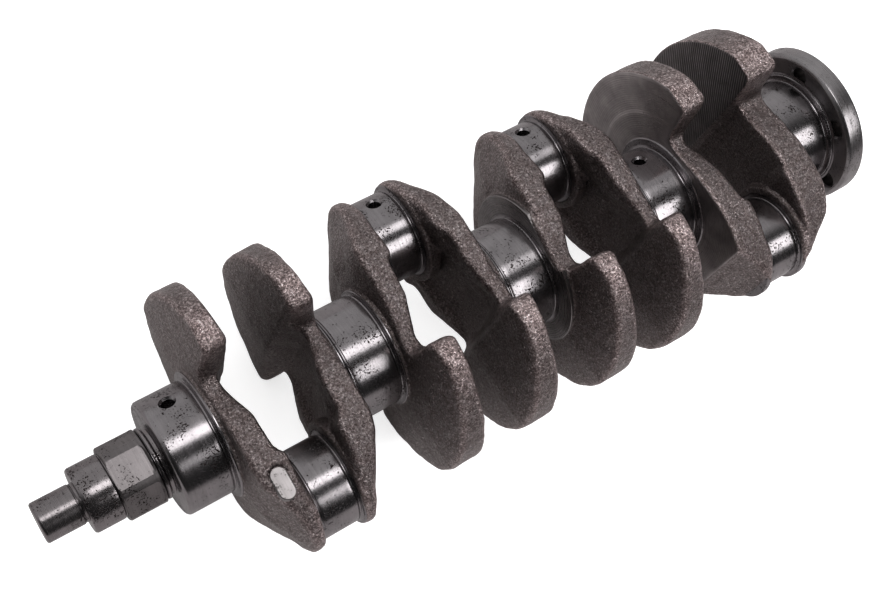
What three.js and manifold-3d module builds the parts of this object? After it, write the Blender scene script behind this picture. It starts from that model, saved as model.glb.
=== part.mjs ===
// Crankshaft of a four-cylinder in-line engine: five main bearing journals,
// four crankpins in one plane, eight webs with counterweights, a stepped
// front nose and a drilled flange at the rear.
//
// Units are millimetres, +Z up. The shaft lies on its side, with all four
// throws level: +X runs along the shaft from the nose to the flange, +Y
// points to the second and third crankpins. The origin is on the surface
// that the shaft lies on, under the middle of the shaft's box.

import * as THREE from 'three';
import { mergeVertices } from 'three/addons/utils/BufferGeometryUtils.js';
import Module from 'manifold-3d';

// ---------------------------------------------------------------- dimensions

const BORE_PITCH = 86.0;      // from one cylinder's centre line to the next
const THROW = 44.1;           // crankpin axis to main axis, half the stroke
const MAIN_R = 27.5;          // main journals
const MAIN_HALF = 11.65;      // half the width of main journals 1 to 4
const REAR_MAIN_END = 14.25;  // journal 5's rear face from its centre
const PIN_R = 21.5;           // crankpins
const PIN_HALF = 10.0;        // half the crankpin's width

const MAIN_1_X = -151.1;      // centre of main journal 1
const MAIN_X = [0, 1, 2, 3, 4].map((k) => MAIN_1_X + k * BORE_PITCH);
const PIN_X = [0, 1, 2, 3].map((k) => MAIN_1_X + (k + 0.5) * BORE_PITCH);
const PIN_SIDE = [-1, 1, 1, -1]; // pins 1 and 4 towards -Y, 2 and 3 towards +Y
const WEB_T = BORE_PITCH / 2 - MAIN_HALF - PIN_HALF; // web, journal face to pin face

const SWING_R = 66.5;         // counterweight rim
const EAR_HALF = 58.0;        // half the counterweight's greatest width
const AXIS_H = EAR_HALF;      // main axis above the surface

const LOBE_C = 30.0;          // centre of the lobe's round end from the main axis
const LOBE_R = 38.6;          // lobe's round end
const MAIN_COLLAR_R = 32.5;   // turned collar beside each main journal
const THRUST_R = 38.6;        // turned thrust face on web 5
const PIN_COLLAR_R = 26.8;    // turned collar beside each crankpin

const NOSE_X = -219.4;        // front end of the shaft
const NOSE_R = 9.5;
const SEAT_X = -200.2;        // front shoulder of the pulley seat
const SEAT_R = 15.4;
const DRIVE_X = -185.5;       // front face of the pump drive
const DRIVE_R = 17.6;         // pump drive over its rounded corners
const DRIVE_FLAT = 16.1;      // pump drive, axis to each flat
const NECK_X = -167.6;        // front face of the neck before journal 1
const NECK_R = 16.6;

const REAR_COLLAR_R = 30.4;
const FLANGE_X0 = 208.4;      // flange's front face
const FLANGE_X1 = 219.4;      // flange's rear face
const FLANGE_R = 41.0;
const BOLT_COUNT = 6;
const BOLT_PCR = 33.0;
const BOLT_R = 4.4;

const OIL_R = 3.0;
const OIL_SINK_R = 4.1;
const OIL_SINK_DEPTH = 1.3;
const OIL_DIR = new THREE.Vector3(0, 0.613, 0.79).normalize(); // mains 1 and 4, pins 2 and 3

// ------------------------------------------------------------------ helpers

const wasm = await Module();
wasm.setup();

function solidOf(geometry) {
  const g = geometry.index ? geometry.toNonIndexed() : geometry.clone();
  g.deleteAttribute('normal');
  g.deleteAttribute('uv');
  const m = mergeVertices(g, 1e-4);
  return new wasm.Manifold(new wasm.Mesh({
    numProp: 3,
    vertProperties: new Float32Array(m.attributes.position.array),
    triVerts: new Uint32Array(m.index.array),
  }));
}

function geometryOf(solid) {
  const mesh = solid.getMesh();
  const g = new THREE.BufferGeometry();
  const xyz = new Float32Array(mesh.numVert * 3);
  for (let i = 0; i < mesh.numVert; i += 1) {
    for (let k = 0; k < 3; k += 1) xyz[3 * i + k] = mesh.vertProperties[mesh.numProp * i + k];
  }
  g.setAttribute('position', new THREE.BufferAttribute(xyz, 3));
  g.setIndex(new THREE.BufferAttribute(new Uint32Array(mesh.triVerts), 1));
  return g;
}

// A turned shape about an axis along X through (y, 0). The profile is a list
// of [x, r] from the front to the rear, and is closed onto the axis here.
function turned(profile, segments, y = 0, phase = 0) {
  const pts = [new THREE.Vector2(0, profile[0][0])];
  for (const [x, r] of profile) pts.push(new THREE.Vector2(r, x));
  pts.push(new THREE.Vector2(0, profile[profile.length - 1][0]));
  const g = new THREE.LatheGeometry(pts, segments, phase, Math.PI * 2);
  g.rotateZ(-Math.PI / 2); // the lathe's own axis, +Y, becomes +X
  g.translate(0, y, 0);
  return solidOf(g);
}

// An outline in (y, z) extruded from x0 to x1.
function plate(outline, x0, x1) {
  const shape = new THREE.Shape(outline.map(([y, z]) => new THREE.Vector2(y, z)));
  const g = new THREE.ExtrudeGeometry(shape, { depth: x1 - x0, bevelEnabled: false });
  g.applyMatrix4(new THREE.Matrix4().makeBasis(
    new THREE.Vector3(0, 1, 0), new THREE.Vector3(0, 0, 1), new THREE.Vector3(1, 0, 0),
  ));
  g.translate(x0, 0, 0);
  return solidOf(g);
}

// A blind oil hole with a countersunk mouth, from radius r of a journal at
// (x, y) towards its axis.
function oilHole(x, y, r, dir, depth) {
  const drill = new THREE.CylinderGeometry(OIL_R, OIL_R, depth, 12);
  drill.translate(0, r + 1 - depth / 2, 0);
  const top = OIL_SINK_R + 1;
  const sink = new THREE.CylinderGeometry(top, top - 1 - OIL_SINK_DEPTH * 1.1, OIL_SINK_DEPTH * 1.1 + 1, 12);
  sink.translate(0, r + 1 - (OIL_SINK_DEPTH * 1.1 + 1) / 2, 0);
  const q = new THREE.Quaternion().setFromUnitVectors(new THREE.Vector3(0, 1, 0), dir);
  for (const g of [drill, sink]) { g.applyQuaternion(q); g.translate(x, y, 0); }
  return solidOf(drill).add(solidOf(sink));
}

// ---------------------------------------------------------------- materials

const groundSteel = () => new THREE.MeshStandardMaterial({ color: 0xb9b4b6, roughness: 0.22, metalness: 1.0 });
const turnedSteel = () => new THREE.MeshStandardMaterial({ color: 0x9c9698, roughness: 0.38, metalness: 1.0 });
const castSteel = () => new THREE.MeshStandardMaterial({ color: 0x3d3836, roughness: 0.72, metalness: 0.75 });

const crankshaft = new THREE.Group();
const body = new THREE.Group(); // the main axis is this group's X axis
body.position.z = AXIS_H;
crankshaft.add(body);

function place(name, solid, material) {
  const mesh = new THREE.Mesh(geometryOf(solid), material);
  mesh.name = name;
  body.add(mesh);
}

// --------------------------------------------------------------------- nose

place('nose_pilot', turned([
  [NOSE_X, NOSE_R - 1.0], [NOSE_X + 1.0, NOSE_R], [SEAT_X, NOSE_R],
], 40), turnedSteel());

place('pulley_seat', turned([
  [SEAT_X, SEAT_R - 1.2], [SEAT_X + 1.2, SEAT_R], [DRIVE_X - 0.9, SEAT_R],
  [DRIVE_X - 0.9, SEAT_R - 0.9], [DRIVE_X, SEAT_R - 0.9],
], 48), groundSteel());

// Six flats milled on a turned boss; the corners keep the turned diameter.
{
  const boss = turned([
    [DRIVE_X, DRIVE_R - 0.8], [DRIVE_X + 0.8, DRIVE_R], [NECK_X - 0.8, DRIVE_R], [NECK_X, DRIVE_R - 0.8],
  ], 60);
  const across = [];
  for (let k = 0; k < 6; k += 1) {
    // one flat faces straight up
    const a = k * Math.PI / 3;
    const r = DRIVE_FLAT / Math.cos(Math.PI / 6);
    across.push([r * Math.cos(a), r * Math.sin(a)]);
  }
  place('oil_pump_drive', boss.intersect(plate(across, DRIVE_X - 1, NECK_X + 1)), turnedSteel());
}

place('front_neck', turned([
  [NECK_X, NECK_R], [NECK_X + 0.7, NECK_R], [NECK_X + 0.7, NECK_R - 0.9], [NECK_X + 2.0, NECK_R - 0.9],
  [NECK_X + 2.0, NECK_R + 0.6], [MAIN_X[0] - MAIN_HALF, NECK_R + 0.6],
], 48), turnedSteel());

// ----------------------------------------------------------------- journals

for (let k = 0; k < 5; k += 1) {
  const x0 = MAIN_X[k] - MAIN_HALF;
  const x1 = MAIN_X[k] + (k === 4 ? REAR_MAIN_END : MAIN_HALF);
  const front = k === 0 ? [[x0, MAIN_R - 2.0], [x0 + 2.0, MAIN_R]] : [[x0, MAIN_R]];
  let solid = turned([...front, [x1, MAIN_R]], 48);
  if (k === 0 || k === 3) solid = solid.subtract(oilHole(MAIN_X[k], 0, MAIN_R, OIL_DIR, MAIN_R + 1));
  place(`main_journal_${k + 1}`, solid, groundSteel());
}

for (let k = 0; k < 4; k += 1) {
  const y = PIN_SIDE[k] * THROW;
  const dir = OIL_DIR.clone().multiplyScalar(PIN_SIDE[k]);
  const solid = turned([[PIN_X[k] - PIN_HALF, PIN_R], [PIN_X[k] + PIN_HALF, PIN_R]], 44, y)
    .subtract(oilHole(PIN_X[k], y, PIN_R, dir, PIN_R + 1));
  place(`crankpin_${k + 1}`, solid, groundSteel());
}

// --------------------------------------------------------------------- webs
//
// Half of a web's outline, (v, u): v runs from the main axis towards the
// crankpin, u to the side. The lobe carries the crankpin; below the waist the
// counterweight spreads to its two ears.

const LOBE_HALF = [
  [68.6, 0], [68.0, 6.5], [66.2, 11.5], [62.6, 17.5], [57.4, 23.6], [50.6, 29.6], [42.4, 34.4],
  [33.0, 37.6], [23.5, 38.6], [13.0, 38.3], [4.0, 36.8], [-4.0, 34.7], [-11.0, 33.0],
];
const EAR = [
  [-15.6, 33.8], [-18.2, 37.4], [-18.6, 44.0], [-19.4, 51.0], [-21.2, 55.4], [-24.6, 57.6], [-27.0, EAR_HALF],
];
const RIM = [];
{
  const a0 = Math.acos(EAR_HALF / SWING_R); // the rim meets the ear's side here
  const n = 11;
  for (let i = 0; i <= n; i += 1) {
    const a = a0 + (Math.PI / 2 - a0) * (i / n);
    RIM.push([-SWING_R * Math.sin(a), SWING_R * Math.cos(a)]);
  }
}
const HALF = [...LOBE_HALF, ...EAR, ...RIM];

// side: +1 puts the crankpin at +Y.
function webOutline(side) {
  const right = HALF.map(([v, u]) => [side * v, u]);
  const left = HALF.slice(1, -1).reverse().map(([v, u]) => [side * v, -u]);
  const loop = [...right, ...left];
  let area = 0;
  loop.forEach(([y, z], i) => {
    const [y2, z2] = loop[(i + 1) % loop.length];
    area += y * z2 - y2 * z;
  });
  return area > 0 ? loop : loop.reverse();
}

// The web seen from its side, as (s, v): s is the depth from the main journal's
// face to the crankpin's, v the distance from the main axis towards the pin.
// The lobe is bevelled on the journal side, and the counterweight and waist
// stand back on the crankpin side.
const BEVEL = [[3.0, 34.0], [5.0, 38.5], [8.6, 45.0], [18.6, 69.6]];
const CHAMFER = [[2.4, 47.5], [4.8, 50.5], [20.0, 66.5], [20.0, 69.6]]; // webs 7 and 8
const HOLLOW = [[WEB_T + 1, 27.0], [WEB_T - 2.2, 26.0], [15.6, 21.0], [15.0, 8.0], [13.6, 2.5], [11.4, -4.0],
  [9.9, -9.0], [9.6, -16.0], [10.4, -18.8], [14.6, -21.6], [WEB_T - 4.6, -27.0], [WEB_T - 4.4, -70.0], [WEB_T + 1, -70.0]];

// A prism along Z with the given (s, v) section.
function prism(section, at, side) {
  let pts = section.map(([s, v]) => new THREE.Vector2(at(s), side * v));
  if (THREE.ShapeUtils.area(pts) < 0) pts = pts.reverse();
  const g = new THREE.ExtrudeGeometry(new THREE.Shape(pts), { depth: 140, bevelEnabled: false });
  g.translate(0, 0, -70);
  return solidOf(g);
}

// xm is the face beside the main journal, xp the face beside the crankpin.
// The forged sides stand back from both faces, fall away towards the rim, and
// the rim's edges are rounded; a machined side stays flat out to the rim.
function web(xm, xp, side, { thrust = false, flatMain = false, flatPin = false, chamfer = false } = {}) {
  const d = Math.sign(xp - xm);
  const at = (s) => xm + d * s;
  const order = (list) => (d > 0 ? list : [...list].reverse());
  const T = WEB_T;
  const xa = Math.min(xm, xp);
  const xb = Math.max(xm, xp);

  // counterweight: a round lens about the main axis
  const mainSide = flatMain ? [[1.0, SWING_R - 0.6], [1.6, SWING_R + 0.2]]
    : [[3.0, 34.0], [4.6, 60.0], [7.0, SWING_R + 0.2]];
  const pinSide = flatPin ? [[T - 2.0, SWING_R + 0.2], [T - 1.4, SWING_R - 0.6]]
    : [[T - 7.0, SWING_R + 0.2], [T - 4.6, 60.0], [T - 2.6, 40.0]];
  const lens = turned(order([...mainSide, ...pinSide]).map(([s, r]) => [at(s), r]), 44);

  // lobe: the same about the centre of its round end
  const m0 = flatMain || chamfer ? 1.2 : 3.0;
  const lobeLens = turned(order([
    [m0, 33.0], [6.0, 39.8], [T - 4.4, 39.8], [T - 1.8, 35.0],
  ]).map(([s, r]) => [at(s), r]), 34, side * LOBE_C);

  const outline = webOutline(side);
  const cutV = 6.0; // the counterweight's part of the outline stops here
  const cwOutline = outline.filter(([y]) => side * y <= cutV);
  const blank = plate(outline, xa, xb);
  const cwBlank = plate(cwOutline, xa, xb);
  let solid = cwBlank.intersect(lens).add(blank.intersect(lobeLens));
  const slope = chamfer ? CHAMFER : BEVEL;
  solid = solid.subtract(prism([...slope, [-1, 69.6], [-1, slope[0][1]]], at, side));
  if (!flatPin) solid = solid.subtract(prism(HOLLOW, at, side));

  // turned collars up to the two faces
  const rm = thrust ? THRUST_R : MAIN_COLLAR_R;
  const collarM = turned(order([[0, rm], [5.0, rm]]).map(([s, r]) => [at(s), r]), 48);
  const collarP = turned(order([[T - 4.0, PIN_COLLAR_R], [T, PIN_COLLAR_R]]).map(([s, r]) => [at(s), r]), 44, side * THROW);
  solid = solid.add(collarM.intersect(blank)).add(collarP.intersect(blank)
    .subtract(prism([...slope, [-1, 69.6], [-1, slope[0][1]]], at, side)));
  return solid;
}

for (let k = 0; k < 4; k += 1) {
  const side = PIN_SIDE[k];
  const front = web(MAIN_X[k] + MAIN_HALF, PIN_X[k] - PIN_HALF, side, { thrust: k === 2, flatMain: k === 3, chamfer: k === 3 });
  const rear = web(MAIN_X[k + 1] - MAIN_HALF, PIN_X[k] + PIN_HALF, side, { flatPin: k === 3, chamfer: k === 3 });
  place(`crank_web_${2 * k + 1}`, front, castSteel());
  place(`crank_web_${2 * k + 2}`, rear, castSteel());
}

// --------------------------------------------------------------------- rear

const REAR_X = MAIN_X[4] + REAR_MAIN_END;
place('rear_collar', turned([[REAR_X, REAR_COLLAR_R], [FLANGE_X0, REAR_COLLAR_R]], 48), turnedSteel());

{
  let solid = turned([
    [FLANGE_X0, FLANGE_R - 1.6], [FLANGE_X0 + 1.6, FLANGE_R], [FLANGE_X1 - 0.8, FLANGE_R], [FLANGE_X1, FLANGE_R - 0.8],
  ], 60);
  for (let k = 0; k < BOLT_COUNT; k += 1) {
    const a = k * Math.PI * 2 / BOLT_COUNT;
    const drill = new THREE.CylinderGeometry(BOLT_R, BOLT_R, FLANGE_X1 - FLANGE_X0 + 4, 12);
    drill.rotateZ(-Math.PI / 2);
    drill.translate((FLANGE_X0 + FLANGE_X1) / 2, BOLT_PCR * Math.cos(a), BOLT_PCR * Math.sin(a));
    solid = solid.subtract(solidOf(drill));
  }
  place('flywheel_flange', solid, turnedSteel());
}

export default crankshaft;
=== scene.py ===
import bpy
import math
import numpy as np
from mathutils import Matrix


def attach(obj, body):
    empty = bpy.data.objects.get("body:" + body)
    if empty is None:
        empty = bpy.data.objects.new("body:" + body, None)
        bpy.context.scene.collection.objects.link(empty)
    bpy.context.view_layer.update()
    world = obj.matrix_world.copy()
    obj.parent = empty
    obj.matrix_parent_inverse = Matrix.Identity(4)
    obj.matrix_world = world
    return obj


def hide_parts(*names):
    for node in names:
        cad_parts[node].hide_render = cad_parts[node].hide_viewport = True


# ---------------------------------------------------------------- frame
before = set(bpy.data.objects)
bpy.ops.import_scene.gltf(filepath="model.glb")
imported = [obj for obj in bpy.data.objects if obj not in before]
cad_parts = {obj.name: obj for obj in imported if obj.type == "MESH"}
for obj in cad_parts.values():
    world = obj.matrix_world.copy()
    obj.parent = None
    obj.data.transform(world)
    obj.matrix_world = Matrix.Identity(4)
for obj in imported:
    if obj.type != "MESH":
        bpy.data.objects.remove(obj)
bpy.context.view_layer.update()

# All lengths below are millimetres in the row frame; meshes are written in metres.
PITCH = 86.0
AXIS_H = 58.0
THROW = 44.1
MAIN_R = 27.5
MAIN_HALF = 11.65
REAR_END = 14.25
PIN_R = 21.5
PIN_HALF = 10.0
MAIN_X = [-151.1 + PITCH * i for i in range(5)]
PIN_X = [-108.1 + PITCH * i for i in range(4)]
PIN_SIDE = [-1, 1, 1, -1]
WEB_T = 21.35
SWING_R = 66.9
GRID = 0.72
INF = 1e9


# ---------------------------------------------------------------- noise
class Noise:
    """Smooth lattice noise, 0 to 1, seeded."""

    def __init__(self, seed, n=48):
        rs = np.random.RandomState(seed)
        self.n = n
        self.g = rs.rand(n, n, n).astype(np.float32)

    def __call__(self, x, y, z, cell):
        n = self.n
        c = []
        for a, off in ((x, 11.3), (y, 23.7), (z, 7.9)):
            a = a / cell + off
            i = np.floor(a)
            t = (a - i).astype(np.float32)
            t = t * t * (3 - 2 * t)
            i = i.astype(np.int64) % n
            c.append((i, (i + 1) % n, t))
        (i0, i1, tx), (j0, j1, ty), (k0, k1, tz) = c
        g = self.g
        a00 = g[i0, j0, k0] * (1 - tx) + g[i1, j0, k0] * tx
        a10 = g[i0, j1, k0] * (1 - tx) + g[i1, j1, k0] * tx
        a01 = g[i0, j0, k1] * (1 - tx) + g[i1, j0, k1] * tx
        a11 = g[i0, j1, k1] * (1 - tx) + g[i1, j1, k1] * tx
        return (a00 * (1 - ty) + a10 * ty) * (1 - tz) + (a01 * (1 - ty) + a11 * ty) * tz


# ---------------------------------------------------------------- mesh helpers
def put_mesh(name, verts_mm, quads, tris=None, sharp=None):
    """A mesh object from numpy arrays (mm), smooth shaded, with optional sharp angle in degrees."""
    me = bpy.data.meshes.new(name)
    nv = len(verts_mm)
    me.vertices.add(nv)
    me.vertices.foreach_set("co", (np.asarray(verts_mm, np.float64) / 1000).astype(np.float32).ravel())
    quads = np.asarray(quads, np.int32).reshape(-1, 4)
    tris = np.zeros((0, 3), np.int32) if tris is None else np.asarray(tris, np.int32).reshape(-1, 3)
    V = np.asarray(verts_mm, np.float64)
    fan = np.concatenate([quads[:, [0, 1, 2]], quads[:, [0, 2, 3]], tris])
    if (V[fan[:, 0]] * np.cross(V[fan[:, 1]], V[fan[:, 2]])).sum() < 0:
        quads, tris = quads[:, ::-1], tris[:, ::-1]
    nl = len(quads) * 4 + len(tris) * 3
    me.loops.add(nl)
    me.loops.foreach_set("vertex_index", np.concatenate([quads.ravel(), tris.ravel()]).astype(np.int32))
    me.polygons.add(len(quads) + len(tris))
    starts = np.concatenate([np.arange(len(quads)) * 4, len(quads) * 4 + np.arange(len(tris)) * 3])
    me.polygons.foreach_set("loop_start", starts.astype(np.int32))
    me.update(calc_edges=True)
    me.validate()
    me.polygons.foreach_set("use_smooth", np.ones(len(me.polygons), bool))
    if sharp is not None:
        me.set_sharp_from_angle(angle=math.radians(sharp))
    ob = bpy.data.objects.new(name, me)
    bpy.context.scene.collection.objects.link(ob)
    return ob


def surface_nets(F, lo, h):
    """Closed quad surface where F = 0. F < 0 inside. lo is the first sample's place, h the spacing."""
    inside = F < 0
    s = inside.astype(np.int8)
    c = (s[:-1, :-1, :-1] + s[1:, :-1, :-1] + s[:-1, 1:, :-1] + s[:-1, :-1, 1:]
         + s[1:, 1:, :-1] + s[1:, :-1, 1:] + s[:-1, 1:, 1:] + s[1:, 1:, 1:])
    act = (c > 0) & (c < 8)
    idx = np.full(act.shape, -1, np.int64)
    i, j, k = np.nonzero(act)
    idx[i, j, k] = np.arange(len(i))
    pos = np.zeros((len(i), 3))
    w = np.zeros(len(i))
    corners = [(a, b, d) for a in (0, 1) for b in (0, 1) for d in (0, 1)]
    vals = {q: F[i + q[0], j + q[1], k + q[2]] for q in corners}
    for a in corners:
        for ax in range(3):
            if a[ax]:
                continue
            b = list(a)
            b[ax] = 1
            b = tuple(b)
            fa, fb = vals[a], vals[b]
            cross = (fa < 0) != (fb < 0)
            t = np.where(cross, fa / np.where(cross, fa - fb, 1), 0)
            p = np.repeat(np.array(a, float)[None], len(i), 0)
            p[:, ax] += t
            pos[cross] += p[cross]
            w += cross
    pos = pos / w[:, None] + np.stack([i, j, k], 1)
    quads = []
    for ax in range(3):
        o1, o2 = [(1, 2), (2, 0), (0, 1)][ax]
        sl_a = [slice(None)] * 3
        sl_b = [slice(None)] * 3
        sl_a[ax] = slice(0, -1)
        sl_b[ax] = slice(1, None)
        A, B = inside[tuple(sl_a)], inside[tuple(sl_b)]
        e = np.argwhere(A != B)
        ok = (e[:, o1] > 0) & (e[:, o2] > 0) & (e[:, o1] < F.shape[o1] - 1) & (e[:, o2] < F.shape[o2] - 1)
        e = e[ok]
        flip = A[e[:, 0], e[:, 1], e[:, 2]]

        def cell(d1, d2):
            q = e.copy()
            q[:, o1] += d1
            q[:, o2] += d2
            return idx[q[:, 0], q[:, 1], q[:, 2]]

        q = np.stack([cell(-1, -1), cell(0, -1), cell(0, 0), cell(-1, 0)], 1)
        q[~flip] = q[~flip][:, ::-1]
        quads.append(q)
    quads = np.concatenate(quads)
    return pos * h + np.array(lo), quads


def lathe(name, prof, ax_y, ax_z, segs=288, sharp=32, rfun=None):
    """A solid of revolution about the line (y, z) = (ax_y, ax_z). prof is (x, r) from one end cap to the other, r > 0.
    rfun(x, theta, r) may change the radius. theta is measured from +Y towards +Z."""
    prof = np.array(prof, float)
    th = np.arange(segs) * 2 * math.pi / segs if np.isscalar(segs) else np.asarray(segs)
    n, m = len(prof), len(th)
    X = np.repeat(prof[:, 0][:, None], m, 1)
    R = np.repeat(prof[:, 1][:, None], m, 1)
    TH = np.repeat(th[None], n, 0)
    if rfun is not None:
        R = rfun(X, TH, R)
    V = np.stack([X, ax_y + R * np.cos(TH), ax_z + R * np.sin(TH)], 2).reshape(-1, 3)
    a = np.arange(n - 1)[:, None] * m
    b = np.arange(m)[None]
    b2 = (b + 1) % m
    quads = np.stack([a + b, a + b2, a + m + b2, a + m + b], 2).reshape(-1, 4)
    V = np.concatenate([V, [[prof[0, 0], ax_y, ax_z], [prof[-1, 0], ax_y, ax_z]]])
    c0, c1 = n * m, n * m + 1
    bb = np.arange(m)
    t0 = np.stack([np.full(m, c0), (bb + 1) % m, bb], 1)
    t1 = np.stack([np.full(m, c1), (n - 1) * m + bb, (n - 1) * m + (bb + 1) % m], 1)
    tris = np.concatenate([t0, t1])
    return put_mesh(name, V, quads, tris, sharp)


def fix_normals(ob):
    import bmesh
    bm = bmesh.new()
    bm.from_mesh(ob.data)
    bmesh.ops.recalc_face_normals(bm, faces=bm.faces)
    bm.to_mesh(ob.data)
    bm.free()


def cut(ob, cutter, sharp=32, operation="DIFFERENCE"):
    """ob minus cutter, or their common part, applied."""
    m = ob.modifiers.new("cut", "BOOLEAN")
    m.operation = operation
    m.solver = "EXACT"
    m.object = cutter
    dg = bpy.context.evaluated_depsgraph_get()
    me = bpy.data.meshes.new_from_object(ob.evaluated_get(dg))
    ob.modifiers.clear()
    old = ob.data
    ob.data = me
    bpy.data.meshes.remove(old)
    me.polygons.foreach_set("use_smooth", np.ones(len(me.polygons), bool))
    me.set_sharp_from_angle(angle=math.radians(sharp))
    bpy.data.objects.remove(cutter)
    return ob


def arc(cx, cr, rad, a0, a1, n=6):
    """Points on a circle in the (x, r) plane, angles in degrees."""
    return [(cx + rad * math.cos(math.radians(a)), cr + rad * math.sin(math.radians(a)))
            for a in np.linspace(a0, a1, n)]


# ---------------------------------------------------------------- webs
HALF_OUTLINE = [
    (68.6, 0), (68.4, 3.4), (67.9, 6.8), (66.2, 11.5), (62.6, 17.5), (57.4, 23.6), (50.6, 29.6), (42.4, 34.4),
    (33.0, 37.6), (23.5, 38.6), (13.0, 38.3), (4.0, 36.8), (-4.0, 34.7), (-11.0, 33.0), (-15.0, 33.3),
    (-16.9, 36.0), (-17.9, 41.0), (-18.4, 47.0), (-18.9, 52.0), (-19.8, 55.6), (-21.6, 57.6), (-24.0, 58.0), (-28, 58)]


def prism(P, x0, x1):
    """A closed prism over the (v, u) polygon P between two s planes, in local (s, v, u)."""
    n = len(P)
    V = np.concatenate([np.column_stack([np.full(n, x0), P]), np.column_stack([np.full(n, x1), P])])
    return V, n


def outline(swing=SWING_R):
    half = list(HALF_OUTLINE)
    a0 = math.atan2(-math.sqrt(swing ** 2 - 58 ** 2), 58)
    for a in np.linspace(a0, -math.pi / 2, 22):
        half.append((swing * math.sin(a), swing * math.cos(a)))
    half[-1] = (-swing, 0.0)
    pts = half + [(v, -u) for v, u in half[-2:0:-1]]
    P = np.array(pts, float)
    for _ in range(2):                                   # corner cutting, keeps the shape inside its polygon
        Q = np.roll(P, -1, 0)
        P = np.stack([0.8 * P + 0.2 * Q, 0.2 * P + 0.8 * Q], 1).reshape(-1, 2)
    return P


def poly_sdf(P, V, U):
    """Signed distance to a closed polygon, negative inside."""
    x, y = V.ravel(), U.ravel()
    d = np.full(x.shape, INF)
    inside = np.zeros(x.shape, bool)
    n = len(P)
    for i in range(n):
        ax, ay = P[i]
        bx, by = P[(i + 1) % n]
        ex, ey = bx - ax, by - ay
        px, py = x - ax, y - ay
        L = ex * ex + ey * ey
        if L < 1e-12:
            continue
        t = np.clip((px * ex + py * ey) / L, 0, 1)
        d = np.minimum(d, (px - t * ex) ** 2 + (py - t * ey) ** 2)
        crosses = (ay > y) != (by > y)
        if ey != 0:
            xi = ax + (y - ay) * ex / ey
            inside ^= crosses & (x < xi)
    d = np.sqrt(d)
    return np.where(inside, -d, d).reshape(V.shape)


def smax(a, b, k):
    h = np.maximum(k - np.abs(a - b), 0) / k
    return np.maximum(a, b) + h * h * k * 0.25


def smin(a, b, k):
    return -smax(-a, -b, k)


def sstep(x, a, b):
    t = np.clip((x - a) / (b - a), 0, 1)
    return t * t * (3 - 2 * t)


def interp(x, pts):
    pts = sorted(pts)
    return np.interp(x, [p[0] for p in pts], [p[1] for p in pts])


BEVEL = [(-80, 0), (34, 0), (37.5, 0.3), (41, 1.6), (46, 3.8), (53, 7.2), (61, 11.2), (69.6, 16.0)]
DRAFT = [(-80, 0.05), (30, 0.05), (42, 0.11), (60, 0.15), (80, 0.15)]
CHAMFER = {7: [(-80, 0), (47.5, 0), (49.5, 3.0), (51.5, 4.6), (56, 9.4), (61.6, 15.6), (66.5, 20.0), (72, 23)],
           8: [(-80, 0), (38, 0), (42, 0.6), (49, 2.2), (52.2, 3.6), (57, 9.2), (62, 14.2), (66, 19.6), (72, 23)]}
T = WEB_T
INNER = [(72, T - 1.8), (60, T - 1.5), (47, T - 0.7), (38, T - 0.9), (30, 19.2), (22, 17.6), (14, 16.2), (8, 15.4), (2.5, 14.0), (-4, 12.2), (-70, 12.2)]
HOLLOW = [(72, T - 2.0), (28, T - 2.0), (24.5, 16.3), (21, 15.8), (8, 15.4), (2.5, 14.0), (-4, 12.2), (-9, 10.9), (-15.0, 10.8),
          (-16.6, 12.0), (-18.6, 15.6), (-20.6, 19.0), (-22.0, T - 0.6), (-70, T - 0.6)]


def web_fields(k, V, U):
    """Heights of the two faces of web k over the outline: s of the main-journal side and of the pin side."""
    r = np.hypot(V, U)
    au = np.sqrt(U * U + 2.2)                               # draft on both sides of the parting line at u = 0
    cw = 1 - sstep(V, -14, 8)
    # main-journal side
    if k in (7, 8):
        f = (1.0 if k == 7 else 0.5) + interp(V, CHAMFER[k])
        if k == 8:
            f = f + cw * interp(r, [(0, 0), (58, 0.3), (66.9, 1.2)])
        else:
            f = f + cw * interp(r, [(0, 0), (45.5, 0), (46.3, 0.5), (66.9, 0.5)])
    else:
        f = 0.7 + interp(V, BEVEL) + interp(V, DRAFT) * au
        # scooped between the journal and the bevel
        f = f + 1.5 * np.exp(-((V - 36.5) / 5.0) ** 2) * np.clip(1 - (au / 29) ** 2, 0, 1)
        f = f + cw * interp(r, [(0, 0), (34, 0), (46, 0.6), (60, 1.6), (66.9, 2.8)])
        if k == 5:                                          # stands up under the turned thrust face
            f = np.minimum(f, 0.2 + 60 * sstep(r, 37.4, 46.0))
        # falls away beside the journal
        f = f + {3: 1.0, 4: 2.4, 6: 0.8}.get(k, 0.0) * sstep(np.abs(U), 22, 35) * sstep(V, -10, 2) * (1 - sstep(V, 36, 46))
    # pin side
    if k == 8:
        g = interp(V, [(72, T - 2.0), (26, T - 2.0), (20, T - 4.0), (-12, T - 4.8), (-16.5, T - 4.4), (-19, T - 1.2), (-70, T - 1.2)])
    else:
        g = interp(V, HOLLOW)
        near_pin = sstep(V, -3, 4) * (1 - sstep(np.abs(U), 26, 32))
        g = g + (interp(V, INNER) - g) * near_pin
        t = sstep(V, -17, -22)
        g = g - t * (0.058 * np.sqrt(U * U + 0.6) + interp(r, [(0, 0), (40, 0), (60, 0.4), (66.9, 1.5)]))
        # hollow between the two side strips, and a pocket in the middle of the waist
        edge = interp(V, [(-70, 36), (-15, 33), (2, 27), (15, 25), (24, 22.5), (36, 18.5), (60, 12)])
        deep = interp(V, [(-70, 0), (-17, 0), (-12, 1.8), (-4, 2.6), (8, 3.6), (22, 3.6), (31, 2.6), (39, 0), (72, 0)])
        g = g - (1 - t) * deep * (1 - sstep(np.abs(U), edge - 7.0, edge + 0.5))
        g = g - (1 - t) * 1.8 * np.exp(-((V + 4) / 11.5) ** 4) * (1 - sstep(np.abs(U + 1.5), 9, 19))
    return f, g


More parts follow.
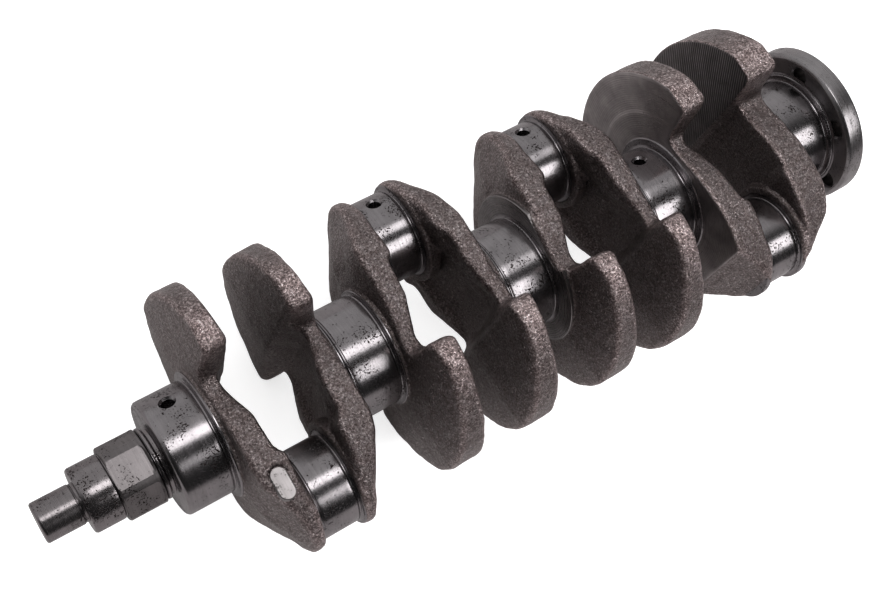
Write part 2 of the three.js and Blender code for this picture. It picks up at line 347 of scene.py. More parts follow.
def build_web(k, noise):
    p = (k - 1) // 2
    side = PIN_SIDE[p]
    odd = k % 2 == 1
    main_i = p if odd else p + 1
    if odd:
        x0, sx = MAIN_X[main_i] + MAIN_HALF, 1.0
    else:
        x0, sx = MAIN_X[main_i] - MAIN_HALF, -1.0
    h = GRID
    s = np.arange(-1.6, WEB_T + 1.8, h)
    v = np.arange(-SWING_R - 2 * h, 70.2 + h, h)
    u = np.arange(-60.2, 60.3, h)
    V2, U2 = np.meshgrid(v, u, indexing="ij")
    d2 = poly_sdf(outline(), V2, U2)
    f, g = web_fields(k, V2, U2)
    r = np.hypot(V2, U2)
    rp = np.hypot(V2 - THROW, U2)

    def slope(H):
        a, b = np.gradient(H, h)
        return 1 / np.sqrt(1 + a * a + b * b)

    def soft(H, n):
        for _ in range(n):
            H = H.copy()
            H[1:-1, :] = (H[:-2, :] + 2 * H[1:-1, :] + H[2:, :]) / 4
            H[:, 1:-1] = (H[:, :-2] + 2 * H[:, 1:-1] + H[:, 2:]) / 4
        return H

    n_soft = int(round(2.0 / (h * h)))
    f = soft(f, max(1, n_soft if k not in (7, 8) else n_soft // 3))
    g = soft(g, max(1, n_soft if k != 8 else n_soft // 3))
    S = s[:, None, None]
    df = (f[None] - S) * slope(f)[None]
    dg = (S - g[None]) * slope(g)[None]
    D2 = d2[None]
    # rim rounding grows on the pin side and at the counterweight
    on_cw = sstep(-V2, 12, 22)[None]
    k_main = (3.4 - 1.4 * on_cw) if k not in (7, 8) else (2.2 - 0.9 * on_cw if k == 7 else 2.6 - 0.4 * on_cw)
    k_pin = (3.6 - 1.3 * on_cw) if k != 8 else 2.0 - 0.8 * on_cw
    if k == 1:                                              # cleared for the milled pad on the rim
        reach = np.hypot(S - 11.3, np.maximum(np.abs(V2[None] - 39.4) - 3.7, 0)) - 4.4
        D2 = np.maximum(D2 + 0 * reach, np.where(reach < 0, U2[None] - 36.15, -50.0))
    body = smax(D2, df, k_main)
    body = smax(body, dg, k_pin)
    xx = x0 + sx * S + 0 * V2[None]
    yy = side * V2[None] + 0 * S
    zz = AXIS_H + U2[None] + 0 * S
    near = np.abs(body) < 2.5
    n1 = noise(xx[near], yy[near], zz[near], 9.0)
    n2 = noise(xx[near] + 50, yy[near], zz[near], 3.6)
    n3 = noise(xx[near], yy[near] + 90, zz[near], 1.7)
    rough = 0.46 * n1 + 0.24 * n2 + 0.12 * n3 - 0.24
    if k == 7:                                              # machined faces stay flat
        rough = rough * sstep((S + 0 * V2[None])[near], 2.4, 4.0)
    if k == 5:
        flat = (1 - sstep((np.hypot(yy[near], zz[near] - AXIS_H)), 38.0, 40.0)) * (1 - sstep((S + 0 * V2[None])[near], 1.6, 3.0))
        rough = rough * (1 - flat)
    if k == 8:
        rough = rough * (1 - sstep((S + 0 * V2[None])[near], T - 3.6, T - 2.2) * (yy[near] * side < -16))
    body[near] += rough
    # turned rings round the journal and the pin, cut off by the outline
    ring_main, top = (29.6, 0.5) if k not in (1, 7, 8) else (31.4, 0.5)
    dm = np.maximum((r - ring_main)[None], top - S)
    dm = smax(dm, (r - ring_main)[None] * 0.7 + (top - S) * 0.7 + 0.55, 0.3)
    dm = np.maximum(dm, S - 9)
    dm = smax(dm, D2 + 0.5, 1.5)
    body = smin(body, dm, 0.7)
    dp = np.maximum((rp - 26.8)[None], S - WEB_T)
    dp = smax(dp, (rp - 26.8)[None] * 0.7 + (S - WEB_T) * 0.7 + 0.5, 0.3)
    dp = np.maximum(dp, 15 - S)
    # the ring follows the outline of the lobe
    dp = smax(dp, D2 + 0.4, 2.0)
    dp = np.maximum(dp, df)
    body = smin(body, dp, 2.0 if k != 8 else 1.0)
    body = np.maximum(body, -(S - 0.0))                        # the main face is one plane
    body = np.maximum(body, S - WEB_T)
    pos, quads = surface_nets(body, (s[0], v[0], u[0]), h)
    X = x0 + sx * pos[:, 0]
    Y = side * pos[:, 1]
    Z = AXIS_H + pos[:, 2]
    if sx * side < 0:
        quads = quads[:, ::-1]
    Y = np.clip(Y, -68.58, 68.58)
    Z = np.clip(Z, 0.02, 115.98)
    ob = put_mesh("web_%d" % k, np.stack([X, Y, Z], 1), quads)
    # wear on the convex edges, and a painted highlight on the tips of the counterweights
    dv = poly_sdf(outline(), pos[:, 1], pos[:, 2])
    fv, gv = web_fields(k, pos[:, 1], pos[:, 2])
    bf, bg = fv - pos[:, 0], pos[:, 0] - gv
    wear_and_painted_highlight = 0.55 * np.maximum(np.exp(-(dv * dv + bf * bf) / 5.0), np.exp(-(dv * dv + bg * bg) / 5.0))
    # the counterweight tips are lightened as a painted highlight
    painted_tip_highlight = sstep(np.abs(pos[:, 2]), 36, 48) * np.exp(-((pos[:, 1] + 30) / 13.0) ** 2) * sstep(dv, -3.0, -0.8)
    wear_and_painted_highlight = np.clip(np.maximum(wear_and_painted_highlight, 1.0 * painted_tip_highlight), 0, 1).astype(np.float32)
    at = ob.data.attributes.new("wear_and_painted_highlight", "FLOAT", "POINT")
    at.data.foreach_set("value", wear_and_painted_highlight)
    # faces that a tool has been over
    if k in (7, 8):
        n = len(ob.data.polygons)
        cen = np.zeros(n * 3)
        nor = np.zeros(n * 3)
        ob.data.polygons.foreach_get("center", cen)
        ob.data.polygons.foreach_get("normal", nor)
        cen = cen.reshape(-1, 3) * 1000
        nor = nor.reshape(-1, 3)
        ss = (cen[:, 0] - x0) * sx
        vv = cen[:, 1] * side
        if k == 7:
            on = (ss < 2.6) & (nor[:, 0] * sx < -0.80)
        else:
            on = (ss > T - 2.2) & (nor[:, 0] * sx > 0.80) & (vv < -17)
        MACHINED[k] = on
    return ob


# ---------------------------------------------------------------- journals and pins
def end_fillet(xe, sgn, r, top, depth=0.35, w=1.5):
    """Rolled fillet at a journal's end. xe is the shoulder plane, sgn +1 when the shoulder is on the right.
    Returned going towards the shoulder."""
    pts = [(xe - sgn * (w + 0.75), r), (xe - sgn * (w + 0.35), r - 0.06)]
    c = xe - sgn * w * 0.55
    for a in np.linspace(0.1, 1, 7):
        ang = math.pi * a
        pts.append((xe - sgn * (w + 0.2) + sgn * (w * 0.5 + 0.1) * (1 - math.cos(ang)) * 0.72,
                    r - depth * math.sin(ang)))
    pts += [(xe - sgn * 0.32, r + 0.28), (xe - sgn * 0.14, r + 0.62), (xe - sgn * 0.04, r + 1.0), (xe, r + 1.5)]
    pts.append((xe, top - 0.5))
    pts.append((xe + sgn * 0.5, top))
    pts.append((xe + sgn * 3.2, top))
    return pts


def journal(name, xc, half_l, half_r, r, y, top_l, top_r, left=None, right=None):
    L = left if left is not None else end_fillet(xc - half_l, -1, r, top_l)[::-1]
    R = right if right is not None else end_fillet(xc + half_r, 1, r, top_r)
    mid = [(x, r) for x in np.linspace(L[-1][0], R[0][0], 12)[1:-1]]
    return lathe(name, L + mid + R, y, AXIS_H, segs=320)


def oil_hole(xc, y, r, dirn):
    """Cutter for a 6 mm hole with a countersink to about 8.2 mm."""
    import bmesh
    me = bpy.data.meshes.new("cutter")
    bm = bmesh.new()
    prof = [(3.0, -8.0), (3.0, -1.3), (3.25, -1.0), (4.15, 0.15), (6.2, 1.9)]
    m = 48
    rings = []
    for rr, hh in prof:
        ring = []
        for i in range(m):
            a = 2 * math.pi * i / m
            ring.append(bm.verts.new((rr * math.cos(a), rr * math.sin(a), hh)))
        rings.append(ring)
    for a, b in zip(rings[:-1], rings[1:]):
        for i in range(m):
            bm.faces.new((a[i], a[(i + 1) % m], b[(i + 1) % m], b[i]))
    bm.faces.new(rings[0][::-1])
    bm.faces.new(rings[-1])
    bm.to_mesh(me)
    bm.free()
    ob = bpy.data.objects.new("cutter", me)
    bpy.context.scene.collection.objects.link(ob)
    d = np.array(dirn, float)
    d /= np.linalg.norm(d)
    ex = np.array([1.0, 0, 0])
    ey = np.cross(d, ex)
    c = np.array([xc, y, AXIS_H]) + d * r
    M = Matrix(((ex[0], ey[0], d[0], c[0]), (ex[1], ey[1], d[1], c[1]), (ex[2], ey[2], d[2], c[2]), (0, 0, 0, 1)))
    me.transform(M)
    me.transform(Matrix.Scale(0.001, 4))
    return ob


OIL_A = (0, 0.613, 0.790)
OIL_B = (0, -0.613, 0.790)

pieces = {}
extra = {}
MACHINED = {}

# first main journal: chamfered front face, shoulder at its right
TOPS = 29.2
m1_front = [(-167.2, 12.0), (-167.2, 16.2), (-166.9, 16.6), (-165.9, 16.6), (-165.5, 15.9), (-164.6, 15.4), (-163.3, 15.4), (-162.85, 15.7),
            (-162.75, 16.3), (-162.75, 26.3), (-162.6, 26.6), (-162.0, 27.15), (-161.6, 27.38), (-161.1, 27.48), (-160.0, 27.5)]
pieces["main_journal_1"] = journal("main_journal_1_turned", MAIN_X[0], MAIN_HALF, MAIN_HALF, MAIN_R, 0.0, 31.0, 31.0, left=m1_front)
for i in (1, 2, 3):
    tl = TOPS
    tr = {1: TOPS, 2: TOPS, 3: 32.0}[i]
    pieces["main_journal_%d" % (i + 1)] = journal(
        "main_journal_%d_turned" % (i + 1), MAIN_X[i], MAIN_HALF, MAIN_HALF, MAIN_R, 0.0, tl, tr)
# the last main journal runs into the rear collar
rear = end_fillet(MAIN_X[4] + REAR_END, 1, MAIN_R, 30.4)[:-1] + [(MAIN_X[4] + REAR_END + 0.9, 30.4)]
pieces["main_journal_5"] = journal("main_journal_5_turned", MAIN_X[4], MAIN_HALF, REAR_END, MAIN_R, 0.0, 31.0, 30.4, right=rear)
for i in range(4):
    pieces["crankpin_%d" % (i + 1)] = journal(
        "crankpin_%d_ground" % (i + 1), PIN_X[i], PIN_HALF, PIN_HALF, PIN_R, PIN_SIDE[i] * THROW, 23.9, 23.9)

for name, xc, y, r, d in (
        ("main_journal_1", MAIN_X[0], 0, MAIN_R, OIL_A), ("main_journal_4", MAIN_X[3], 0, MAIN_R, OIL_A),
        ("crankpin_2", PIN_X[1], THROW, PIN_R, OIL_A), ("crankpin_3", PIN_X[2], THROW, PIN_R, OIL_A),
        ("crankpin_1", PIN_X[0], -THROW, PIN_R, OIL_B), ("crankpin_4", PIN_X[3], -THROW, PIN_R, OIL_B)):
    if name == "crankpin_1" or name == "crankpin_4":
        d = (0, -0.613, -0.790)
    cut(pieces[name], oil_hole(xc, y, r, d))

# turned thrust face on web 5, as wide as the web allows
xt = MAIN_X[2] + MAIN_HALF
thrust = lathe("web_5_thrust_face", [(xt + 0.06, 24.0), (xt + 0.06, 30.0), (xt + 0.06, 37.9), (xt + 0.16, 38.3), (xt + 0.5, 38.6), (xt + 1.4, 38.6), (xt + 2.6, 38.6),
                                     (xt + 2.6, 24.0)], 0.0, AXIS_H, segs=320)
Po = outline()
Po = Po * (1 - 3.2 / np.hypot(Po[:, 0], Po[:, 1]))[:, None]
Vp, npoly = prism(Po, -2.0, 9.0)
Vp = np.column_stack([xt + Vp[:, 0], PIN_SIDE[2] * Vp[:, 1], AXIS_H + Vp[:, 2]])
ii = np.arange(npoly)
jj = (ii + 1) % npoly
side_q = np.stack([ii, jj, npoly + jj, npoly + ii], 1)
caps = bpy.data.meshes.new("cutter")
caps.from_pydata([tuple(p / 1000) for p in Vp], [], [tuple(q) for q in side_q] + [tuple(range(npoly))[::-1], tuple(range(npoly, 2 * npoly))])
cutter = bpy.data.objects.new("cutter", caps)
sc_link = bpy.context.scene.collection.objects.link(cutter)
fix_normals(cutter)
cut(thrust, cutter, operation="INTERSECT")
extra["web_5_thrust_face"] = (thrust, "turned")

# a small pad milled on the rim of web 1, beside the first pin
def stadium(s0, v0, half_len, half_w, n=14):
    pts = []
    for a in np.linspace(-90, 90, n):
        pts.append((s0 + half_w * math.sin(math.radians(a)), v0 + (half_len - half_w) + half_w * math.cos(math.radians(a))))
    for a in np.linspace(90, 270, n):
        pts.append((s0 + half_w * math.sin(math.radians(a)), v0 - (half_len - half_w) + half_w * math.cos(math.radians(a))))
    return pts


rings = []
for inset, uu in ((0.0, 33.0), (0.0, 36.55), (0.35, 36.9)):
    rings.append([(MAIN_X[0] + MAIN_HALF + a, -b, AXIS_H + uu) for a, b in stadium(11.3, 39.4, 7.5 - inset, 3.8 - inset)])
m_ = len(rings[0])
Vv = np.array(sum(rings, []) + [(MAIN_X[0] + MAIN_HALF + 11.6, -39.4, AXIS_H + 33.0), (MAIN_X[0] + MAIN_HALF + 11.6, -39.4, AXIS_H + 36.9)])
ii = np.arange(m_)
jj = (ii + 1) % m_
qq = np.concatenate([np.stack([r0 * m_ + ii, r0 * m_ + jj, (r0 + 1) * m_ + jj, (r0 + 1) * m_ + ii], 1) for r0 in (0, 1)])
tt = np.concatenate([np.stack([jj, ii, np.full(m_, 3 * m_)], 1), np.stack([2 * m_ + ii, 2 * m_ + jj, np.full(m_, 3 * m_ + 1)], 1)])
extra["web_1_milled_pad"] = (put_mesh("web_1_milled_pad", Vv, qq, tt, 30), "pad")

# ---------------------------------------------------------------- nose
pieces["nose_pilot"] = lathe("nose_pilot_turned", [
    (-219.4, 3.0), (-219.4, 8.6), (-219.3, 8.9), (-218.8, 9.35), (-218.5, 9.48), (-218.1, 9.5), (-213, 9.5), (-208, 9.5), (-203.4, 9.5),
    (-202.2, 9.5), (-201.9, 9.15), (-201.1, 9.05), (-200.7, 9.3), (-200.3, 9.6), (-198.8, 9.7)], 0, AXIS_H, segs=240)
pieces["pulley_seat"] = lathe("pulley_seat_turned", [
    (-200.2, 4.0), (-200.2, 14.4), (-200.05, 14.8), (-199.4, 15.25), (-198.9, 15.4), (-194, 15.4), (-189.0, 15.4), (-186.8, 15.4),
    (-186.4, 15.3), (-186.2, 14.7), (-185.75, 14.55), (-185.4, 14.7), (-184.2, 14.8)], 0, AXIS_H, segs=240)

FLAT = 16.1
CORNER = 17.6
X_FLAT_END = -168.7
flat_half = math.degrees(math.acos(FLAT / CORNER))


def hex_radius(X, TH, R):
    d = (np.degrees(TH) - 90) % 60
    d = np.where(d > 30, d - 60, d)
    tt = FLAT * np.tan(np.radians(d))
    wmax = FLAT * math.tan(math.radians(flat_half))
    rc = 2.4
    over = np.clip(np.abs(tt) - (wmax - rc), 0, rc)
    x_end = X_FLAT_END - (rc - np.sqrt(np.maximum(rc ** 2 - over ** 2, 0)))
    F = FLAT + np.maximum(X - x_end, 0) * 1.6
    flat_r = F / np.cos(np.radians(d))
    return np.minimum(R, np.maximum(flat_r, 0))


angs = []
for kk in range(6):
    base = 90 + 60 * kk
    angs += list(base + np.concatenate([np.linspace(-flat_half, flat_half, 30), np.linspace(flat_half, 60 - flat_half, 11)[1:-1]]))
angs = np.radians(np.array(sorted(a % 360 for a in angs)))
hx = list(np.linspace(-184.7, -171.6, 12)) + list(np.arange(-171.4, -167.75, 0.16))
pieces["oil_pump_drive"] = lathe("oil_pump_drive_milled", [(-185.5, 4.0), (-185.5, 16.7), (-185.35, 17.1), (-184.95, 17.5)] + [(x, CORNER) for x in hx]
                                 + [(-167.7, 17.5), (-167.55, 17.1), (-167.5, 16.4), (-167.5, 12.0), (-166.6, 12.0)], 0, AXIS_H, segs=angs, sharp=18, rfun=hex_radius)
pieces["front_neck"] = lathe("front_neck_turned", [
    (-168.2, 10.0), (-168.2, 15.2), (-167.35, 15.4), (-167.1, 16.0), (-166.6, 16.9), (-166.3, 17.05), (-165.6, 17.05), (-165.3, 16.8),
    (-165.0, 16.0), (-164.5, 15.6), (-163.6, 15.6), (-163.1, 15.9), (-162.8, 16.6), (-162.4, 17.0)], 0, AXIS_H, segs=240)

# ---------------------------------------------------------------- rear collar and flange
xr = MAIN_X[4] + REAR_END
pieces["rear_collar"] = lathe("rear_collar_turned", [
    (xr + 0.7, 20.0), (xr + 0.7, 30.4), (xr + 0.9, 30.45), (xr + 0.95, 30.4), (208.4 - 1.0, 30.4), (208.4 - 0.45, 30.55), (208.4 - 0.1, 31.0),
    (208.4 + 0.2, 31.5), (208.4 + 1.2, 31.6)], 0, AXIS_H, segs=320)
fl = [(208.4, 12.0), (208.4, 31.4), (208.4, 35.2), (208.4, 39.0), (208.6, 39.5), (209.6, 40.6), (210.0, 40.9), (210.4, 41.0), (212.5, 41.0), (215, 41.0),
      (218.0, 41.0), (218.5, 40.9), (218.9, 40.6), (219.4, 40.0), (219.4, 30), (219.4, 18.2), (219.2, 17.8), (218.2, 17.0), (217.9, 16.9), (214.9, 16.9), (214.9, 12.0)]
pieces["flywheel_flange"] = lathe("flywheel_flange_turned", fl, 0, AXIS_H, segs=360)


def flange_cutter(ang):
    import bmesh
    me = bpy.data.meshes.new("cutter")
    bm = bmesh.new()
    m = 40
    prof = [(5.6, 207.9), (5.6, 208.15), (4.4, 209.3), (4.4, 218.5), (5.5, 219.65), (5.5, 220.5)]
    rings = []
    for rr, xx in prof:
        rings.append([bm.verts.new((xx / 1000, (33 * math.cos(ang) + rr * math.cos(2 * math.pi * i / m)) / 1000,
                                    (AXIS_H + 33 * math.sin(ang) + rr * math.sin(2 * math.pi * i / m)) / 1000)) for i in range(m)])
    for a, b in zip(rings[:-1], rings[1:]):
        for i in range(m):
            bm.faces.new((a[i], b[i], b[(i + 1) % m], a[(i + 1) % m]))
    bm.faces.new(rings[0])
    bm.faces.new(rings[-1][::-1])
    bmesh.ops.recalc_face_normals(bm, faces=bm.faces)
    bm.to_mesh(me)
    bm.free()
    ob = bpy.data.objects.new("cutter", me)
    bpy.context.scene.collection.objects.link(ob)
    return ob


for kk in range(6):
    cut(pieces["flywheel_flange"], flange_cutter(math.radians(60 * kk)))

# ---------------------------------------------------------------- webs
noise = Noise(7)
for k in range(1, 9):
    pieces["crank_web_%d" % k] = build_web(k, noise)


# ---------------------------------------------------------------- materials
class Tree:
    def __init__(self, name):
        self.m = bpy.data.materials.new(name)
        self.m.use_nodes = True
        self.nt = self.m.node_tree
        self.nt.nodes.clear()
        self.out = self.nt.nodes.new("ShaderNodeOutputMaterial")

    def n(self, kind, props=None, **ins):
        nd = self.nt.nodes.new("ShaderNode" + kind)
        for a, b in (props or {}).items():
            setattr(nd, a, b)
        for key, val in ins.items():
            sock = nd.inputs[int(key[1:])] if key[0] == "i" and key[1:].isdigit() else nd.inputs[key.replace("_", " ")]
            if isinstance(val, bpy.types.NodeSocket):
                self.nt.links.new(val, sock)
            else:
                sock.default_value = val
        return nd

    def math(self, op, a, b=0.0, c=None, clamp=False):
        kw = {"i0": a, "i1": b}
        if c is not None:
            kw["i2"] = c
        return self.n("Math", {"operation": op, "use_clamp": clamp}, **kw).outputs[0]

    def mm(self):
        tc = self.n("TexCoord")
        return self.n("VectorMath", {"operation": "SCALE"}, i0=tc.outputs["Object"], Scale=1000.0).outputs[0]

    def stretch(self, vec, x, y, z):
        return self.n("VectorMath", {"operation": "MULTIPLY"}, i0=vec, i1=(x, y, z)).outputs[0]

    def noise(self, vec, scale, detail=2.0, rough=0.5, dist=0.0):
        return self.n("TexNoise", None, Vector=vec, Scale=scale, Detail=detail, Roughness=rough, Distortion=dist).outputs["Fac"]

    def ramp(self, fac, stops, interp_mode="LINEAR"):
        r = self.n("ValToRGB", None, Fac=fac)
        cr = r.color_ramp
        cr.interpolation = interp_mode
        while len(cr.elements) > 1:
            cr.elements.remove(cr.elements[-1])
        cr.elements[0].position = stops[0][0]
        cr.elements[0].color = (*stops[0][1], 1)
        for p, c in stops[1:]:
            e = cr.elements.new(p)
            e.color = (*c, 1)
        return r.outputs["Color"]

    def rng(self, v, a, b, c, d):
        return self.n("MapRange", {"clamp": True}, Value=v, From_Min=a, From_Max=b, To_Min=c, To_Max=d).outputs[0]

    def mixc(self, fac, a, b, mode="MIX"):
        nd = self.n("Mix", {"data_type": "RGBA", "blend_type": mode})
        for sock, val in ((nd.inputs[0], fac), (nd.inputs[6], a), (nd.inputs[7], b)):
            if isinstance(val, bpy.types.NodeSocket):
                self.nt.links.new(val, sock)
            else:
                sock.default_value = val if not isinstance(val, tuple) else (*val, 1) if len(val) == 3 else val
        return nd.outputs[2]

    def finish(self, color, rough, normal, metallic=1.0, aniso=0.0, spec=0.5):
        b = self.n("BsdfPrincipled")
        for key, val in (("Base Color", color), ("Roughness", rough), ("Normal", normal)):
            if isinstance(val, bpy.types.NodeSocket):
                self.nt.links.new(val, b.inputs[key])
            elif val is not None:
                b.inputs[key].default_value = (*val, 1) if isinstance(val, tuple) else val
        b.inputs["Metallic"].default_value = metallic
        b.inputs["Specular IOR Level"].default_value = spec
        b.inputs["Anisotropic"].default_value = aniso
        self.nt.links.new(b.outputs[0], self.out.inputs[0])
        return self.m

    def bump(self, height, strength, dist_mm, normal=None):
        nd = self.n("Bump", None, Strength=strength, Distance=dist_mm / 1000.0, Height=height)
        if normal is not None:
            self.nt.links.new(normal, nd.inputs["Normal"])
        return nd.outputs[0]


def forged(name, seed, tone=1.0):
    t = Tree(name)
    p = t.mm()
    p = t.n("VectorMath", {"operation": "ADD"}, i0=p, i1=(seed * 31.7, seed * 13.1, seed * 7.3)).outputs[0]
    grain = t.noise(p, 1.0, 4.0, 0.70)
    fine = t.noise(p, 1.5, 3.0, 0.65)
    pits = t.n("TexVoronoi", {"feature": "F1"}, Vector=p, Scale=0.9, Randomness=1.0).outputs["Distance"]
    big = t.noise(p, 0.075, 2.0, 0.5)
    mid = t.noise(p, 0.28, 3.0, 0.55)
    col = t.ramp(grain, [(0.30, (0.05 * tone, 0.042 * tone, 0.041 * tone)), (0.42, (0.150 * tone, 0.131 * tone, 0.129 * tone)),
                         (0.54, (0.210 * tone, 0.187 * tone, 0.185 * tone)), (0.62, (0.38 * tone, 0.352 * tone, 0.35 * tone)),
                         (0.72, (0.62 * tone, 0.59 * tone, 0.59 * tone))])
    warm = t.ramp(mid, [(0.35, (0.80, 0.74, 0.73)), (0.65, (1.0, 0.975, 0.975))])
    col = t.mixc(1.0, col, warm, "MULTIPLY")
    dark = t.rng(fine, 0.35, 0.44, 0.35, 1.0)
    col = t.mixc(1.0, col, t.n("CombineColor", None, Red=dark, Green=dark, Blue=dark).outputs[0], "MULTIPLY")
    rough = t.rng(t.math("ADD", grain, t.math("MULTIPLY", big, 0.5)), 0.5, 1.0, 0.38, 0.24)
    # rubbed bright on the high grains of edges as wear; on the counterweight tips it is a painted highlight
    worn_and_painted_highlight = t.n("Attribute", {"attribute_name": "wear_and_painted_highlight"}).outputs["Fac"]
    worn_and_painted_highlight = t.math("MULTIPLY", worn_and_painted_highlight, t.rng(t.math("ADD", grain, t.math("MULTIPLY", mid, 0.6)), 0.66, 0.92, 0.25, 1.0))
    col = t.mixc(worn_and_painted_highlight, col, t.mixc(1.0, col, (2.3, 2.2, 2.2), "MULTIPLY"))
    h = t.math("ADD", t.math("MULTIPLY", grain, 0.70), t.math("MULTIPLY", fine, 0.30))
    h = t.math("ADD", h, t.math("MULTIPLY", pits, 0.14))
    nrm = t.bump(h, 0.9, 0.85)
    nrm = t.bump(mid, 0.5, 0.8, nrm)
    return t.finish(col, rough, nrm, 1.0)


def machined(name, seed, base, kind, rough_lo=0.26, rough_hi=0.40):
    """A face that was turned or milled and has darkened since. kind is rings about the main axis, or lines across."""
    t = Tree(name)
    p = t.mm()
    sep = t.n("SeparateXYZ", None, Vector=p)
    y = sep.outputs["Y"]
    z = t.math("SUBTRACT", sep.outputs["Z"], AXIS_H)
    if kind == "rings":
        w = t.math("SQRT", t.math("ADD", t.math("MULTIPLY", y, y), t.math("MULTIPLY", z, z)))
        pitch, depth = 1.1, 0.035
    else:
        bend = t.math("MULTIPLY", t.math("MULTIPLY", z, z), 0.0011)
        w = t.math("ADD", t.math("ADD", t.math("MULTIPLY", y, 0.862), t.math("MULTIPLY", z, -0.507)), bend)
        pitch, depth = 1.35, 0.13
    ph = t.math("MULTIPLY", w, 2 * math.pi / pitch)
    wob = t.noise(p, 0.12, 2.0, 0.5)
    saw = t.math("SINE", t.math("ADD", ph, t.math("MULTIPLY", wob, 2.0)))
    fine = t.noise(t.n("CombineXYZ", None, X=t.math("MULTIPLY", w, 2.2), Y=t.math("MULTIPLY", y, 0.05), Z=0.0).outputs[0], 1.0, 4.0, 0.6)
    patch = t.noise(p, 0.09, 3.0, 0.55)
    speck = t.noise(p, 1.2, 3.0, 0.6)
    tone = t.math("MULTIPLY", t.rng(patch, 0.35, 0.7, 1.12, 0.72), t.rng(fine, 0.3, 0.7, 0.85, 1.1))
    if kind != "rings":
        tone = t.math("MULTIPLY", tone, t.rng(saw, -1.0, 1.0, 0.50, 1.15))
    col = t.mixc(1.0, base, t.n("CombineColor", None, Red=tone, Green=tone, Blue=tone).outputs[0], "MULTIPLY")
    pit = t.rng(speck, 0.66, 0.70, 0.0, 0.85)
    col = t.mixc(pit, col, (0.03, 0.024, 0.023))
    rough = t.rng(fine, 0.3, 0.7, rough_lo, rough_hi)
    nrm = t.bump(t.math("ADD", saw, t.math("MULTIPLY", fine, 0.8)), 0.7, depth)
    nrm = t.bump(t.math("MULTIPLY", pit, -1.0), 0.6, 0.12, nrm)
    nrm = t.bump(patch, 0.4, 0.5, nrm)
    return t.finish(col, rough, nrm, 1.0)


def ground(name, seed, base=(0.285, 0.268, 0.275), rough_lo=0.16, rough_hi=0.27, pit=1.0, line=1.0):
    t = Tree(name)
    p0 = t.mm()
    p = t.n("VectorMath", {"operation": "ADD"}, i0=p0, i1=(seed * 17.7, seed * 43.1, seed * 9.3)).outputs[0]
    lines = t.noise(t.stretch(p, 4.5, 0.05, 0.05), 1.0, 4.0, 0.65)
    streak = t.noise(t.stretch(p, 1.1, 0.03, 0.03), 1.0, 3.0, 0.6)
    patch = t.noise(p, 0.085, 2.0, 0.55)
    speck = t.noise(p, 1.15, 3.0, 0.62)
    dots = t.noise(p, 0.62, 2.0, 0.5)
    wave = t.noise(p, 0.55, 3.0, 0.6)
    # clusters of dark pits, denser where the patch noise is high
    thr = t.rng(patch, 0.40, 0.66, 0.70, 0.560)
    mask = t.math("GREATER_THAN", speck, thr)
    mask = t.rng(t.math("SUBTRACT", speck, thr), -0.008, 0.012, 0.0, pit)
    lone = t.rng(dots, 0.725, 0.745, 0.0, pit)
    mask = t.math("MAXIMUM", mask, lone)
    stain = t.rng(patch, 0.35, 0.70, 1.06, 0.84)
    band = t.rng(streak, 0.3, 0.7, 0.90, 1.08)
    tone = t.math("MULTIPLY", stain, band)
    col = t.mixc(1.0, base, t.n("CombineColor", None, Red=tone, Green=tone, Blue=tone).outputs[0], "MULTIPLY")
    col = t.mixc(mask, col, (0.030, 0.022, 0.021))
    rough = t.math("ADD", t.rng(lines, 0.3, 0.7, rough_lo, rough_hi), t.math("MULTIPLY", mask, 0.3))
    nrm = t.bump(lines, 0.25 * line, 0.035)
    nrm = t.bump(wave, 0.35, 0.055, nrm)
    nrm = t.bump(t.math("MULTIPLY", mask, -1.0), 0.6, 0.10, nrm)
    return t.finish(col, rough, nrm, 1.0, aniso=0.0)


GROUND = {}
for i, nme in enumerate(["main_journal_1", "main_journal_2", "main_journal_3", "main_journal_4", "main_journal_5",
                         "crankpin_1", "crankpin_2", "crankpin_3", "crankpin_4"]):
    GROUND[nme] = ground("ground_steel_" + nme, i + 1)
GROUND["nose_pilot"] = ground("ground_steel_nose", 21, base=(0.25, 0.232, 0.236), rough_lo=0.2, rough_hi=0.34)
GROUND["pulley_seat"] = ground("ground_steel_seat", 22, base=(0.27, 0.25, 0.255), rough_lo=0.18, rough_hi=0.3)
GROUND["oil_pump_drive"] = ground("ground_steel_drive", 23, base=(0.20, 0.185, 0.187), rough_lo=0.3, rough_hi=0.42, pit=1.0, line=1.6)
GROUND["front_neck"] = ground("turned_steel_neck", 24, base=(0.27, 0.25, 0.255), rough_lo=0.2, rough_hi=0.3)
GROUND["rear_collar"] = ground("turned_steel_collar", 25, base=(0.22, 0.205, 0.21), rough_lo=0.2, rough_hi=0.3)
GROUND["flywheel_flange"] = ground("turned_steel_flange", 26, base=(0.30, 0.285, 0.29), rough_lo=0.24, rough_hi=0.36, pit=0.6, line=1.5)
FORGED = forged("forged_steel", 1, 1.22)

FACE_7 = machined("turned_web_face", 3, (0.37, 0.34, 0.34), "rings")
# near-black colour for the flange's bolt-hole walls, painted shade
PAINTED_SHADE_HOLE = ground("hole_wall_painted_shade", 41, base=(0.035, 0.030, 0.029), rough_lo=0.45, rough_hi=0.6)
FACE_8 = machined("milled_web_face", 4, (0.26, 0.24, 0.24), "lines")
THRUST = machined("thrust_face_steel", 5, (0.30, 0.28, 0.28), "rings", 0.22, 0.34)
PAD = ground("milled_pad_steel", 31, base=(0.34, 0.32, 0.32), rough_lo=0.35, rough_hi=0.5, pit=0.5)

for nme, (ob, kind) in extra.items():
    ob.data.materials.clear()
    ob.data.polygons.foreach_set("material_index", np.zeros(len(ob.data.polygons), np.int32))
    ob.data.materials.append(THRUST if kind == "turned" else PAD)
    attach(ob, "root")

